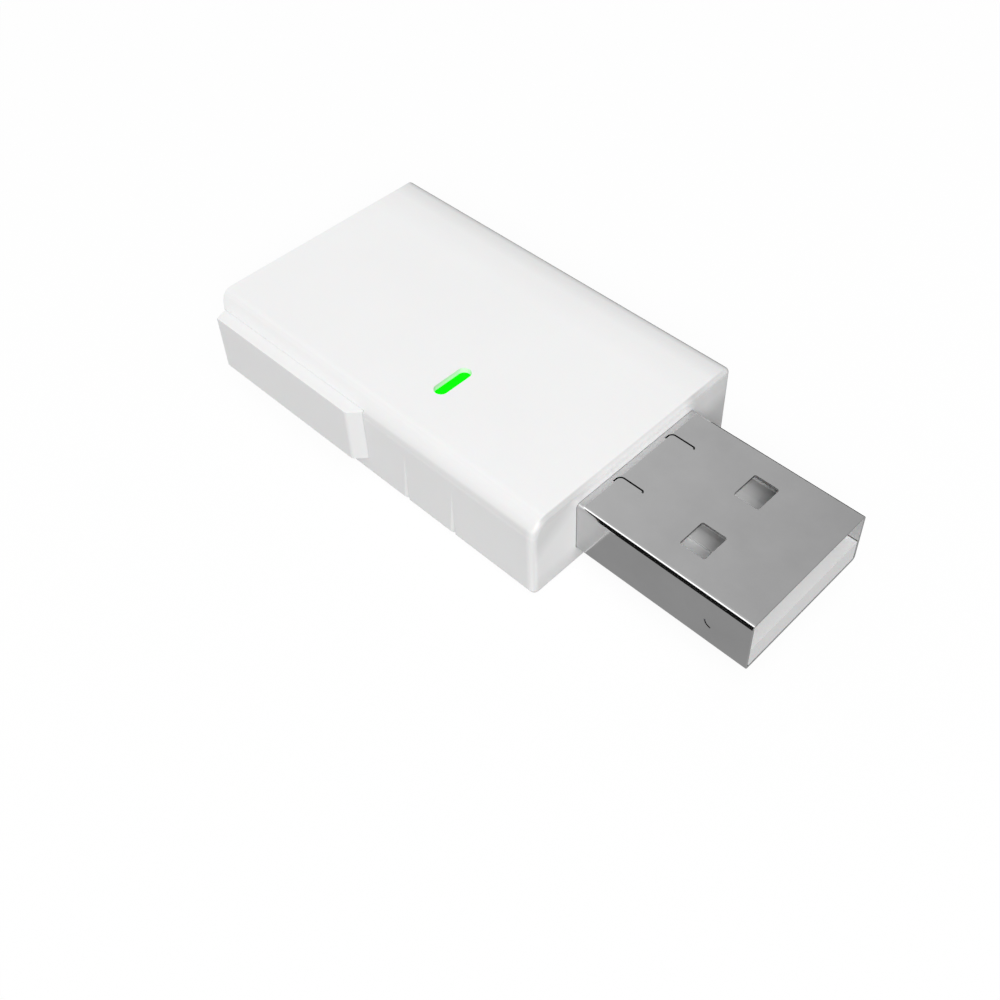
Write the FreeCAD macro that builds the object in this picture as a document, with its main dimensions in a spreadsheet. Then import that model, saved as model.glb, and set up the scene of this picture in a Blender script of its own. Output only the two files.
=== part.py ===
import FreeCAD, Part
import math
import os
import re
import Sketcher
from FreeCAD import Vector

# Plug-in wireless gateway: a moulded casing with a push button, a light window and a USB-A plug.
# Millimetres. +X points out of the plug, +Z up, and the button is on the -Y side.
# The origin is on the underside, midway along the whole length, in the plug's middle plane.

# How closely two places have to agree to count as one.
TOLERANCE = 0.001

# Driving dimensions: each becomes a named cell of the sheet.
SIZES = {
    # Casing
    "case_length": 32.9,
    "case_width": 20.1,
    "plug_lip": 1.1,
    "wall": 1.0,
    "roof": 1.0,
    "grip_radius": 1.4,
    "corner_radius": 0.4,
    "tail_corner_radius": 1.8,
    "foot_radius": 0.3,
    "inner_radius": 0.4,
    # Bottom cover with its posts and hooks
    "cover_thick": 1.0,
    "cover_clearance": 0.1,
    "post_rise": 1.3,
    "post_radius": 0.8,
    "post_margin_back": 2.0,
    "post_margin_front": 3.4,
    "post_margin_side": 1.6,
    "hook_width": 1.8,
    "hook_thick": 0.55,
    "hook_rise": 1.9,
    "barb_reach": 0.35,
    "barb_height": 0.8,
    "barb_edge": 0.2,
    "hook_margin_back": 8.0,
    "hook_margin_front": 3.8,
    # Board
    "board_thick": 1.0,
    "board_margin": 0.9,
    "board_margin_left": 1.15,
    "board_margin_right": 0.85,
    "board_gap": 0.2,
    # Plug shell
    "plug_width": 12.0,
    "plug_height": 4.5,
    "plug_exposed": 14.1,
    "plug_tail": 4.8,
    "plug_drop": 2.0,
    "plug_radius": 0.32,
    "plug_clearance": 0.01,
    "mouth_radius": 0.06,
    "sheet_thick": 0.2,
    "window_setback": 5.3,
    "window_length": 2.0,
    "window_width": 2.35,
    "window_offset": 2.77,
    "window_radius": 0.15,
    "seam_width": 0.06,
    "seam_lock_root": 0.6,
    "seam_lock_tip": 1.2,
    "seam_lock_reach": 1.6,
    "slit_width": 0.13,
    "lance_length": 2.18,
    "lance_width": 0.82,
    "lance_leg": 0.6,
    "lance_margin": 0.3,
    "lance_offset": 2.655,
    "lance_bend": 0.31,
    "lance_hook": 0.12,
    "hook_bend": 0.1,
    "mark_radius": 0.5,
    "mark_width": 0.14,
    "mark_setback": 2.9,
    "mark_drop": 2.28,
    "leg_length": 1.8,
    "leg_height": 2.3,
    "leg_clearance": 0.12,
    # Plug insulator and contacts
    "tongue_gap": 0.05,
    "mating_depth": 9.2,
    "lance_pocket_depth": 0.7,
    "lance_pocket_margin": 0.25,
    "contact_width": 1.0,
    "contact_thick": 0.2,
    "contact_clearance": 0.03,
    "contact_tail": 1.2,
    "contact_inner": 1.0,
    "contact_outer": 3.5,
    "power_setback": 2.4,
    "data_setback": 3.4,
    # Button
    "cap_setback": 1.45,
    "cap_length": 14.37,
    "cap_proud": 0.85,
    "cap_low": 1.5,
    "cap_drop": 0.75,
    "cap_skin": 0.8,
    "cap_clearance": 0.04,
    "cap_edge": 0.04,
    "tail_slant": 0.3,
    "nose_length": 0.81,
    "nose_radius": 0.35,
    "rib_width": 1.6,
    "travel": 0.2,
    "flange_gap": 0.08,
    "flange_thick": 0.67,
    "flange_overlap": 0.7,
    "flange_clearance": 0.05,
    # Grip flutes
    "flute_first": 1.9,
    "flute_pitch": 4.65,
    "flute_width": 0.5,
    "flute_depth": 0.5,
    "flute_drop": 2.22,
    # Light window
    "light_setback": 13.3,
    "light_inset": 5.85,
    "light_length": 3.25,
    "light_width": 1.1,
    "light_recess": 0.42,
    "light_clearance": 0.03,
    "light_flange": 0.5,
    "light_flange_thick": 0.5,
    "light_stem": 1.0,
    "light_gap": 0.1,
    # Switch behind the button
    "switch_length": 3.6,
    "switch_depth": 3.0,
    "switch_height": 1.8,
    "switch_reach": 0.9,
    "plunger_width": 1.5,
    "plunger_height": 0.8,
    "plunger_hidden": 0.8,
    "plunger_clearance": 0.06,
    "frame_thick": 0.12,
    # Parts on the board
    "part_gap": 0.5,
    "led_length": 1.6,
    "led_width": 0.8,
    "led_height": 0.6,
    "chip_size": 5.0,
    "chip_height": 0.8,
    "can_length": 8.8,
    "can_width": 8.6,
    "can_height": 1.7,
    "can_thick": 0.2,
    "can_offset": 2.2,
    "can_vent": 0.5,
    "can_vent_pitch": 1.6,
    "can_foot": 1.2,
    "can_foot_gap": 0.3,
    "can_room": 0.4,
    "crystal_length": 2.0,
    "crystal_width": 1.6,
    "crystal_height": 0.5,
    "crystal_offset": 4.0,
    "antenna_length": 1.8,
    "antenna_width": 4.2,
    "antenna_height": 1.0,
    "antenna_inset": 2.2,
    "antenna_offset": 1.6,
    "antenna_room": 1.4,
    "flash_size": 3.0,
    "flash_height": 0.6,
    "flash_offset": 3.9,
    "regulator_length": 1.6,
    "regulator_width": 2.9,
    "regulator_height": 1.0,
    "regulator_setback": 4.2,
    "regulator_offset": 3.2,
    "regulator_pitch": 0.95,
    "inductor_size": 2.2,
    "inductor_height": 1.1,
    "inductor_offset": 0.2,
    "fuse_length": 1.6,
    "fuse_width": 0.8,
    "fuse_height": 0.5,
    "fuse_setback": 3.8,
    "fuse_offset": 0.4,
    "diode_length": 1.3,
    "diode_width": 1.0,
    "diode_height": 0.7,
    "diode_setback": 4.0,
    "diode_offset": 2.4,
    "chip_edge": 0.1,
    "lead_reach": 0.45,
    "lead_width": 0.35,
    "lead_thick": 0.15,
    "lead_height": 0.3,
    "passive_length": 1.0,
    "passive_width": 0.5,
    "passive_cap": 0.22,
    "passive_step": 0.03,
    "passive_pitch": 1.3,
    "capacitor_height": 0.5,
    "capacitor_setback": 6.3,
    "capacitor_offset": 3.4,
    "resistor_height": 0.35,
    "resistor_setback": 4.6,
    "resistor_offset": 5.2,
}

CAPACITOR_COUNT = 4
RESISTOR_COUNT = 3
FLUTE_COUNT = 2
VENT_COLUMNS = 4
VENT_ROWS = 3

# Places worked out from the sizes.
PLACES = {
    "case_back": "-(case_length + plug_exposed) / 2",
    "case_front": "case_back + case_length",
    "case_side": "case_width / 2",
    "inner_back": "case_back + wall",
    "inner_front": "case_front - wall",
    "inner_side": "case_side - wall",
    "case_height": "shell_high + plug_lip",
    "roof_under": "case_height - roof",
    "cover_back": "inner_back + cover_clearance",
    "cover_front": "inner_front - cover_clearance",
    "cover_side": "inner_side - cover_clearance",
    "hook_top": "cover_thick + hook_rise",
    "barb_low": "hook_top - barb_height",
    "hook_back": "inner_back + hook_margin_back",
    "hook_front": "inner_front - hook_margin_front",
    "post_back": "board_back + post_margin_back",
    "post_front": "board_front - post_margin_front",
    "post_left": "board_left + post_margin_side",
    "post_right": "board_right - post_margin_side",
    "board_under": "cover_thick + post_rise",
    "board_top": "board_under + board_thick",
    "board_back": "inner_back + board_margin",
    "board_front": "shell_back - board_gap",
    "board_left": "board_margin_left - inner_side",
    "board_right": "inner_side - board_margin_right",
    "plug_tip": "case_front + plug_exposed",
    "plug_side": "plug_width / 2",
    "shell_back": "case_front - plug_tail",
    "shell_low": "board_top - plug_drop",
    "shell_high": "shell_low + plug_height",
    "bore_side": "plug_side - sheet_thick",
    "bore_low": "shell_low + sheet_thick",
    "bore_high": "shell_high - sheet_thick",
    "window_front": "plug_tip - window_setback",
    "leg_back": "shell_back - leg_length",
    "leg_high": "board_top + plug_drop / 2",
    "tongue_side": "bore_side - tongue_gap",
    "block_front": "plug_tip - mating_depth",
    "lance_back": "case_front + lance_margin",
    "lance_front": "lance_back + lance_length",
    "mark_x": "plug_tip - mark_setback",
    "mark_z": "shell_high - mark_drop",
    "contact_back": "board_front - contact_tail",
    "cap_back": "case_back + cap_setback",
    "cap_front": "cap_back + cap_length",
    "cap_middle": "(cap_back + cap_front) / 2",
    "cap_face": "-(case_side + cap_proud)",
    "cap_high": "case_height - cap_drop",
    "cap_tail": "cap_back - tail_slant",
    "nose_tip": "cap_front + nose_length",
    "hole_back": "cap_tail - cap_clearance",
    "hole_front": "nose_tip + cap_clearance",
    "flange_low": "cover_thick + cover_clearance",
    "flange_back": "inner_back + inner_radius + flange_clearance",
    "flange_face": "flange_gap - inner_side",
    "flange_inner": "flange_face + flange_thick",
    "flange_high": "roof_under - flange_clearance",
    "switch_face": "flange_inner + switch_reach",
    "plunger_middle": "board_top + switch_height / 2",
    "flute_height": "case_height - flute_drop",
    "light_x": "case_front - light_setback",
    "light_y": "light_inset - case_side",
    "light_top": "case_height - light_recess",
    "antenna_x": "board_back + antenna_inset",
    "can_back": "antenna_x + antenna_length / 2 + antenna_room",
    "can_x": "can_back + can_length / 2",
    "chip_x": "can_back + can_thick + can_room + chip_size / 2",
    "crystal_x": "can_back + can_length - can_thick - can_room - crystal_width / 2",
    "capacitor_x": "light_x - capacitor_setback",
    "resistor_x": "light_x - resistor_setback",
    "regulator_x": "board_front - regulator_setback",
    "flash_x": "regulator_x - (regulator_width + flash_size) / 2 - part_gap",
    "fuse_x": "board_front - fuse_setback",
    "inductor_x": "fuse_x - (fuse_length + inductor_size) / 2 - part_gap",
    "diode_x": "board_front - diode_setback",
}


def formula(text):
    """Spell an expression out in the sheet's cells."""
    def spelled(word):
        name = word.group()
        if name in SIZES:
            return "dim." + name
        if name in PLACES:
            return "(" + formula(PLACES[name]) + ")"
        return name

    return re.sub("[a-z_]+", spelled, text)


def number(text):
    """The value of an expression, to draw with before the constraints hold."""
    return float(sheet.evalExpression(formula(text)))


def bind(thing, size, text):
    """Tie a size of an object to an expression."""
    thing.setExpression(size, formula(text))


def new_body(label, x="0", y="0", z="0"):
    """Start a sub-part at its place."""
    body = doc.addObject("PartDesign::Body", label)
    body.Label = label
    for axis, place in zip("xyz", (x, y, z)):
        bind(body, "Placement.Base." + axis, place)
    return body


def sketch_on(body, role, place="0"):
    """Put a sketch on an origin plane, moved along the positive axis to a place."""
    plane = next(item for item in body.Origin.OriginFeatures if item.Role == role)
    sketch = body.newObject("Sketcher::SketchObject", body.Name + "_sketch")
    sketch.AttachmentSupport = [(plane, "")]
    sketch.MapMode = "FlatFace"
    bind(sketch, "AttachmentOffset.Base.z", f"-({place})" if role == "XZ_Plane" else place)
    return sketch


def fix_point(sketch, curve, end, u, v):
    """Hold a point of a curve at a place."""
    for kind, text in (("DistanceX", u), ("DistanceY", v)):
        index = sketch.addConstraint(Sketcher.Constraint(kind, -1, 1, curve, end, number(text)))
        bind(sketch, f"Constraints[{index}]", text)


def polygon(sketch, corners):
    """Draw a closed outline of straight lines."""
    first = sketch.GeometryCount
    points = [Vector(number(u), number(v), 0) for u, v in corners]
    for start, end in zip(points, points[1:] + points[:1]):
        sketch.addGeometry(Part.LineSegment(start, end))
    for index, (u, v) in enumerate(corners):
        following = first + (index + 1) % len(corners)
        sketch.addConstraint(Sketcher.Constraint("Coincident", first + index, 2, following, 1))
        fix_point(sketch, first + index, 1, u, v)


def rectangle(sketch, left, right, low, high):
    """Draw a rectangle between two places along each direction."""
    polygon(sketch, [(left, low), (right, low), (right, high), (left, high)])


def circle(sketch, u, v, radius):
    """Draw a circle."""
    centre = Vector(number(u), number(v), 0)
    curve = sketch.addGeometry(Part.Circle(centre, Vector(0, 0, 1), number(radius)))
    fix_point(sketch, curve, 3, u, v)
    index = sketch.addConstraint(Sketcher.Constraint("Radius", curve, number(radius)))
    bind(sketch, f"Constraints[{index}]", radius)


def stadium(sketch, u, v, length, width):
    """Draw a slot with round ends, long in the sketch's second direction."""
    radius = f"({width}) / 2"
    reach = f"(({length}) - ({width})) / 2"
    ends = []
    for side, start in (("+", 0), ("-", math.pi)):
        centre = Vector(number(u), number(f"{v} {side} {reach}"), 0)
        round_end = Part.Circle(centre, Vector(0, 0, 1), number(radius))
        arc = sketch.addGeometry(Part.ArcOfCircle(round_end, start, start + math.pi))
        fix_point(sketch, arc, 3, u, f"{v} {side} {reach}")
        ends.append(arc)
    for arc, other in (ends, ends[::-1]):
        start = sketch.getPoint(arc, 2)
        line = sketch.addGeometry(Part.LineSegment(start, sketch.getPoint(other, 1)))
        sketch.addConstraint(Sketcher.Constraint("Tangent", arc, 2, line, 1))
        sketch.addConstraint(Sketcher.Constraint("Tangent", line, 2, other, 1))
    sketch.addConstraint(Sketcher.Constraint("Equal", *ends))
    index = sketch.addConstraint(Sketcher.Constraint("Radius", ends[0], number(radius)))
    bind(sketch, f"Constraints[{index}]", radius)


def quarter_ring(sketch, u, v, radius, width):
    """Draw a quarter of a ring, from the left of its centre round to below it."""
    centre = Vector(number(u), number(v), 0)
    arcs = []
    for size in (f"{radius} - {width} / 2", f"{radius} + {width} / 2"):
        whole = Part.Circle(centre, Vector(0, 0, 1), number(size))
        arc = sketch.addGeometry(Part.ArcOfCircle(whole, math.pi, math.pi * 3 / 2))
        fix_point(sketch, arc, 3, u, v)
        index = sketch.addConstraint(Sketcher.Constraint("Radius", arc, number(size)))
        bind(sketch, f"Constraints[{index}]", size)
        sketch.addConstraint(Sketcher.Constraint("Horizontal", arc, 1, arc, 3))
        sketch.addConstraint(Sketcher.Constraint("Vertical", arc, 2, arc, 3))
        arcs.append(arc)
    for end in (1, 2):
        line = sketch.addGeometry(Part.LineSegment(*(sketch.getPoint(arc, end) for arc in arcs)))
        for place, arc in enumerate(arcs, start=1):
            sketch.addConstraint(Sketcher.Constraint("Coincident", line, place, arc, end))


def extrude(kind, sketch, length):
    """Pad or pocket a sketch towards the positive axis, and see that it changed the body."""
    body = sketch.getParentGeoFeatureGroup()
    before = 0 if body.Shape.isNull() else body.Shape.Volume
    feature = body.newObject(kind, sketch.Name + "_feature")
    feature.Profile = sketch
    along_normal = sketch.AttachmentSupport[0][0].Role != "XZ_Plane"
    feature.Reversed = along_normal == (kind == "PartDesign::Pocket")
    bind(feature, "Length", length)
    doc.recompute()
    change = body.Shape.Volume - before
    if (change > 0) != (kind == "PartDesign::Pad"):
        raise RuntimeError(f"{feature.Name} doesn't change {body.Label}")
    return feature


def pad(sketch, length):
    """Add the sketch's form."""
    return extrude("PartDesign::Pad", sketch, length)


def pocket(sketch, length):
    """Cut the sketch's form."""
    return extrude("PartDesign::Pocket", sketch, length)


def dress(kind, body, size, text, chosen):
    """Round or bevel the edges that pass a test."""
    base = body.Tip
    edges = enumerate(base.Shape.Edges, start=1)
    names = [f"Edge{index}" for index, edge in edges if chosen(edge)]
    if not names:
        raise RuntimeError(f"no edges to dress on {body.Label}")
    feature = body.newObject(kind, body.Name + "_edges")
    feature.Base = (base, names)
    bind(feature, size, text)
    doc.recompute()
    return feature


def fillet(body, radius, chosen):
    """Round the chosen edges."""
    return dress("PartDesign::Fillet", body, "Radius", radius, chosen)


def chamfer(body, size, chosen):
    """Bevel the chosen edges."""
    return dress("PartDesign::Chamfer", body, "Size", size, chosen)


def spans(edge, axis):
    """The low and high end of an edge along an axis."""
    box = edge.BoundBox
    return getattr(box, axis + "Min"), getattr(box, axis + "Max")


def parallel(edge, axis):
    """Whether an edge runs along one axis only."""
    others = [other for other in "XYZ" if other != axis]
    return all(spans(edge, other)[1] - spans(edge, other)[0] < TOLERANCE for other in others)


def at(edge, axis, place):
    """Whether a whole edge lies at a place along an axis."""
    return all(abs(end - number(place)) < TOLERANCE for end in spans(edge, axis))


def on_rim(edge, back, front, side):
    """Whether an upright edge is a corner of a rectangle about the middle plane."""
    lengthways = at(edge, "X", back) or at(edge, "X", front)
    crossways = at(edge, "Y", side) or at(edge, "Y", f"-({side})")
    return parallel(edge, "Z") and lengthways and crossways


def upright(edge, x, y):
    """Whether an edge stands at a place."""
    return parallel(edge, "Z") and at(edge, "X", x) and at(edge, "Y", y)


def about(middle, size):
    """The two ends of a size about a middle."""
    return f"{middle} - ({size}) / 2", f"{middle} + ({size}) / 2"


def upper_housing():
    """The moulded shell, open below."""
    body = new_body("upper_housing")
    outline = sketch_on(body, "XY_Plane")
    rectangle(outline, "case_back", "case_front", "-case_side", "case_side")
    pad(outline, "case_height")
    fillet(body, "grip_radius", lambda edge: at(edge, "Z", "case_height") and at(edge, "Y", "-case_side"))
    housing_tail(body)
    fillet(body, "corner_radius", housing_plain_edge)
    fillet(body, "foot_radius", lambda edge: at(edge, "Z", "0"))
    cavity = sketch_on(body, "XY_Plane")
    rectangle(cavity, "inner_back", "inner_front", "-inner_side", "inner_side")
    pocket(cavity, "roof_under")
    fillet(body, "inner_radius", lambda edge: on_rim(edge, "inner_back", "inner_front", "inner_side"))
    housing_plug_opening(body)
    housing_button_opening(body)
    light = sketch_on(body, "XY_Plane", "roof_under")
    stadium(light, "light_x", "light_y", "light_length", "light_width")
    pocket(light, "roof")
    housing_flutes(body)
    housing_snap_pockets(body)
    housing_board_ribs(body)
    return body


def housing_tail(body):
    """The wide round corner behind the button."""
    tail = sketch_on(body, "XY_Plane")
    x, y = "case_back + tail_corner_radius", "tail_corner_radius - case_side"
    middle = Vector(number(x), number(y), 0)
    round_end = Part.Circle(middle, Vector(0, 0, 1), number("tail_corner_radius"))
    arc = tail.addGeometry(Part.ArcOfCircle(round_end, math.pi, math.pi * 3 / 2))
    fix_point(tail, arc, 3, x, y)
    index = tail.addConstraint(Sketcher.Constraint("Radius", arc, number("tail_corner_radius")))
    bind(tail, f"Constraints[{index}]", "tail_corner_radius")
    tail.addConstraint(Sketcher.Constraint("Horizontal", arc, 1, arc, 3))
    tail.addConstraint(Sketcher.Constraint("Vertical", arc, 2, arc, 3))
    corner = Vector(number("case_back"), number("-case_side"), 0)
    lines = [tail.addGeometry(Part.LineSegment(tail.getPoint(arc, end), corner)) for end in (1, 2)]
    for end, line in enumerate(lines, start=1):
        tail.addConstraint(Sketcher.Constraint("Coincident", line, 1, arc, end))
    tail.addConstraint(Sketcher.Constraint("Coincident", lines[0], 2, lines[1], 2))
    fix_point(tail, lines[0], 2, "case_back", "-case_side")
    pocket(tail, "case_height")


def housing_plain_edge(edge):
    """Whether an edge is rounded like the front's: its outline, the far top edge and corner."""
    front = at(edge, "X", "case_front") and not at(edge, "Z", "0")
    far = at(edge, "Y", "case_side") and not at(edge, "Z", "0")
    return front or far


def housing_plug_opening(body):
    """The opening in the front wall, its corners following the plug's and its rim rounded."""
    side = "plug_side + plug_clearance"
    low = "shell_low - plug_clearance"
    high = "shell_high + plug_clearance"
    opening = sketch_on(body, "YZ_Plane", "inner_front")
    rectangle(opening, f"-({side})", side, low, high)
    pocket(opening, "wall")

    def corner(edge):
        return parallel(edge, "X") and abs(abs(spans(edge, "Y")[0]) - number(side)) < TOLERANCE

    fillet(body, "plug_radius + plug_clearance", corner)

    def rim(edge):
        inside = max(abs(end) for end in spans(edge, "Y")) < number(side) + TOLERANCE
        return at(edge, "X", "case_front") and inside and spans(edge, "Z")[1] < number(high) + TOLERANCE

    fillet(body, "mouth_radius", rim)


def housing_button_opening(body):
    """The window that the button slides in, with room for its travel under the roof."""
    window = sketch_on(body, "XZ_Plane", "-case_side")
    rectangle(window, "hole_back", "hole_front", "cap_low - cap_clearance", "cap_high + cap_clearance")
    pocket(window, "flange_face + travel + cap_clearance + case_side")


def housing_flutes(body):
    """Grip flutes: each has one upright edge and runs out upwards to a point."""
    for index in range(FLUTE_COUNT):
        edge = f"flute_first - {index} * flute_pitch"
        deepest = "flute_depth - case_side"
        outside = "-(case_side + flute_depth)"
        flute = sketch_on(body, "XY_Plane")
        polygon(flute, [(edge, deepest), (edge, outside), (f"{edge} - 2 * flute_width", outside)])
        cut = pocket(flute, "flute_height")
        cut.UseCustomVector = True
        cut.AlongSketchNormal = True
        cut.Reversed = False
        cut.Direction = Vector(0, -number("flute_depth"), number("flute_height"))
        bind(cut, "Direction.y", "-flute_depth")
        bind(cut, "Direction.z", "flute_height")
        doc.recompute()


def hook_places():
    """The axis, the middle and the side of each snap hook."""
    return [("Y", "hook_back", 1), ("Y", "hook_front", 1), ("Y", "hook_front", -1), ("X", "0", -1)]


def housing_snap_pockets(body):
    """The recesses in the inner walls that the cover's barbs snap into."""
    low = "barb_low - cover_clearance"
    high = "hook_top + cover_clearance"
    length = "hook_width + 2 * cover_clearance"
    for axis, middle, side in hook_places():
        face = "inner_side" if axis == "Y" else "-inner_back"
        edge = "cover_side" if axis == "Y" else "-cover_back"
        deep = f"{edge} + barb_reach + cover_clearance"
        recess = sketch_on(body, "YZ_Plane" if axis == "Y" else "XZ_Plane", f"{middle} - ({length}) / 2")
        near, far = sorted((f"{side} * ({face})", f"{side} * ({deep})"), key=number)
        rectangle(recess, near, far, low, high)
        pocket(recess, length)


def housing_board_ribs(body):
    """Round ribs under the roof that hold the board down on the cover's posts."""
    ribs = sketch_on(body, "XY_Plane", "board_top")
    for x in ("post_back", "post_front"):
        for y in ("post_left", "post_right"):
            circle(ribs, x, y, "post_radius")
    pad(ribs, "roof_under - board_top")


def bottom_cover():
    """The plate that closes the casing, with board posts and snap hooks."""
    body = new_body("bottom_cover")
    plate = sketch_on(body, "XY_Plane")
    rectangle(plate, "cover_back", "cover_front", "-cover_side", "cover_side")
    pad(plate, "cover_thick")
    fillet(body, "inner_radius", lambda edge: parallel(edge, "Z"))
    posts = sketch_on(body, "XY_Plane", "cover_thick")
    for x in ("post_back", "post_front"):
        for y in ("post_left", "post_right"):
            circle(posts, x, y, "post_radius")
    pad(posts, "post_rise")
    for axis, middle, side in hook_places():
        edge = "cover_side" if axis == "Y" else "-cover_back"
        barb = f"({edge}) + barb_reach"
        profile = [(f"({edge}) - hook_thick", "cover_thick"), (edge, "cover_thick"),
                   (edge, "barb_low"), (barb, "barb_low"), (barb, "barb_low + barb_edge"),
                   (edge, "hook_top"), (f"({edge}) - hook_thick", "hook_top")]
        hook = sketch_on(body, "YZ_Plane" if axis == "Y" else "XZ_Plane", f"{middle} - hook_width / 2")
        polygon(hook, [(f"{side} * ({u})", v) for u, v in profile])
        pad(hook, "hook_width")
    return body


def side_button():
    """The push button: a cap that slides in the wall's window and a flange that stays behind it."""
    body = new_body("side_button")
    cap = sketch_on(body, "XY_Plane", "cap_low")
    polygon(cap, [("cap_tail", "flange_face"), ("cap_tail", "-case_side"), ("cap_back", "cap_face"),
                  ("cap_front", "cap_face"), ("nose_tip", "-case_side"), ("nose_tip", "flange_face")])
    pad(cap, "cap_high - cap_low")
    fillet(body, "nose_radius", lambda edge: upright(edge, "cap_front", "cap_face"))
    fillet(body, "cap_edge", button_top_edge)
    flange = sketch_on(body, "XZ_Plane", "flange_face")
    rectangle(flange, "flange_back", "hole_front + flange_overlap",
              "flange_low", "flange_high")
    pad(flange, "flange_thick")
    for near, far in (("cap_tail + cap_skin", "cap_middle - rib_width / 2"),
                      ("cap_middle + rib_width / 2", "nose_tip - cap_skin")):
        hollow = sketch_on(body, "XZ_Plane", "cap_face + cap_skin")
        rectangle(hollow, near, far, "cap_low + cap_skin", "cap_high - cap_skin")
        pocket(hollow, "flange_inner - cap_face - cap_skin")
    return body


def button_top_edge(edge):
    """Whether an edge runs along the top of the cap's outer face."""
    return at(edge, "Z", "cap_high") and spans(edge, "Y")[1] < number("cap_face + nose_radius")


def light_pipe():
    """The clear window in the roof, with a flange under the roof and a stem down to the lamp."""
    body = new_body("light_pipe")
    flange = sketch_on(body, "XY_Plane", "roof_under - light_flange_thick")
    stadium(flange, "light_x", "light_y", "light_length + 2 * light_flange",
            "light_width + 2 * light_flange")
    pad(flange, "light_flange_thick")
    window = sketch_on(body, "XY_Plane", "roof_under")
    stadium(window, "light_x", "light_y", "light_length - 2 * light_clearance",
            "light_width - 2 * light_clearance")
    pad(window, "light_top - roof_under")
    stem_low = "board_top + led_height + light_gap"
    stem = sketch_on(body, "XY_Plane", stem_low)
    stadium(stem, "light_x", "light_y", "led_length", "light_stem")
    pad(stem, f"roof_under - light_flange_thick - ({stem_low})")
    return body


def circuit_board():
    """The board, with open notches in its front edge for the plug's legs."""
    body = new_body("circuit_board")
    outline = sketch_on(body, "XY_Plane", "board_under")
    rectangle(outline, "board_back", "board_front", "board_left", "board_right")
    pad(outline, "board_thick")
    for side in ("", "-"):
        notch = sketch_on(body, "XY_Plane", "board_under")
        near, far = sorted((f"{side}(bore_side - leg_clearance)", f"{side}(plug_side + leg_clearance)"),
                           key=number)
        rectangle(notch, "leg_back - leg_clearance", "board_front", near, far)
        pocket(notch, "board_thick")
    return body


def usb_shell():
    """The plug's shell: one folded sheet with windows, lances, a locked seam and solder legs."""
    body = new_body("usb_shell")
    tube = sketch_on(body, "YZ_Plane", "shell_back")
    rectangle(tube, "-plug_side", "plug_side", "shell_low", "shell_high")
    pad(tube, "plug_tip - shell_back")
    fillet(body, "plug_radius", lambda edge: parallel(edge, "X"))
    bore = sketch_on(body, "YZ_Plane", "shell_back")
    rectangle(bore, "-bore_side", "bore_side", "bore_low", "bore_high")
    pocket(bore, "plug_tip - shell_back")

    def bore_corner(edge):
        inside = abs(abs(spans(edge, "Y")[0]) - number("bore_side")) < TOLERANCE
        return parallel(edge, "X") and inside

    fillet(body, "plug_radius - sheet_thick", bore_corner)
    shell_windows(body)
    shell_seam(body)
    shell_lances(body)
    shell_marks(body)
    shell_legs(body)
    return body


def shell_windows(body):
    """Two latch windows in the top of the shell and two in its bottom."""
    windows = sketch_on(body, "XY_Plane", "shell_low")
    for middle in ("window_offset", "-window_offset"):
        rectangle(windows, "window_front - window_length", "window_front",
                  *about(middle, "window_width"))
    pocket(windows, "plug_height")

    def corner(edge):
        lengthways = at(edge, "X", "window_front") or at(edge, "X", "window_front - window_length")
        return parallel(edge, "Z") and lengthways

    fillet(body, "window_radius", corner)


def shell_seam(body):
    """The seam along the bottom, where a dovetail on one edge of the sheet locks in the other."""
    lock = "(window_front - window_length + case_front) / 2"

    def line_of_seam(offset):
        root = f"seam_lock_root / 2 + ({offset})"
        tip = f"seam_lock_tip / 2 + ({offset})"
        return [("shell_back", offset), (f"{lock} - ({root})", offset),
                (f"{lock} - ({tip})", f"seam_lock_reach + ({offset})"),
                (f"{lock} + ({tip})", f"seam_lock_reach + ({offset})"),
                (f"{lock} + ({root})", offset), ("plug_tip", offset)]

    seam = sketch_on(body, "XY_Plane", "shell_low")
    polygon(seam, line_of_seam("-seam_width / 2") + line_of_seam("seam_width / 2")[::-1])
    pocket(seam, "sheet_thick")


def shell_lances(body):
    """Two tabs in the top of the shell, each cut free by a slit with a bend and a small hook."""
    for middle in ("-lance_offset", "lance_offset"):
        free = f"{middle} + lance_width / 2"
        hinge = f"{free} - lance_leg"
        outside = f"{free} + slit_width"
        slit = sketch_on(body, "XY_Plane", "bore_high")
        polygon(slit, [("lance_back", hinge), ("lance_back + slit_width", hinge),
                       ("lance_back + slit_width", free), ("lance_front - slit_width", free),
                       ("lance_front - slit_width", f"{free} - lance_hook"),
                       ("lance_front", f"{free} - lance_hook"), ("lance_front", outside),
                       ("lance_back", outside)])
        pocket(slit, "sheet_thick")
        fillet(body, "lance_bend + slit_width", lambda edge: upright(edge, "lance_back", outside))
        fillet(body, "lance_bend", lambda edge: upright(edge, "lance_back + slit_width", free))
        fillet(body, "hook_bend + slit_width", lambda edge: upright(edge, "lance_front", outside))
        fillet(body, "hook_bend", lambda edge: upright(edge, "lance_front - slit_width", free))


def shell_marks(body):
    """A curved lance low on each side of the shell."""
    for side in ("-plug_side", "bore_side"):
        mark = sketch_on(body, "XZ_Plane", side)
        quarter_ring(mark, "mark_x", "mark_z", "mark_radius", "mark_width")
        pocket(mark, "sheet_thick")


def shell_legs(body):
    """A solder leg at the back of each side, down through the board's notch."""
    for side in ("-plug_side", "bore_side"):
        leg = sketch_on(body, "XZ_Plane", side)
        rectangle(leg, "leg_back", "shell_back", "leg_high - leg_height", "leg_high")
        pad(leg, "sheet_thick")


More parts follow.
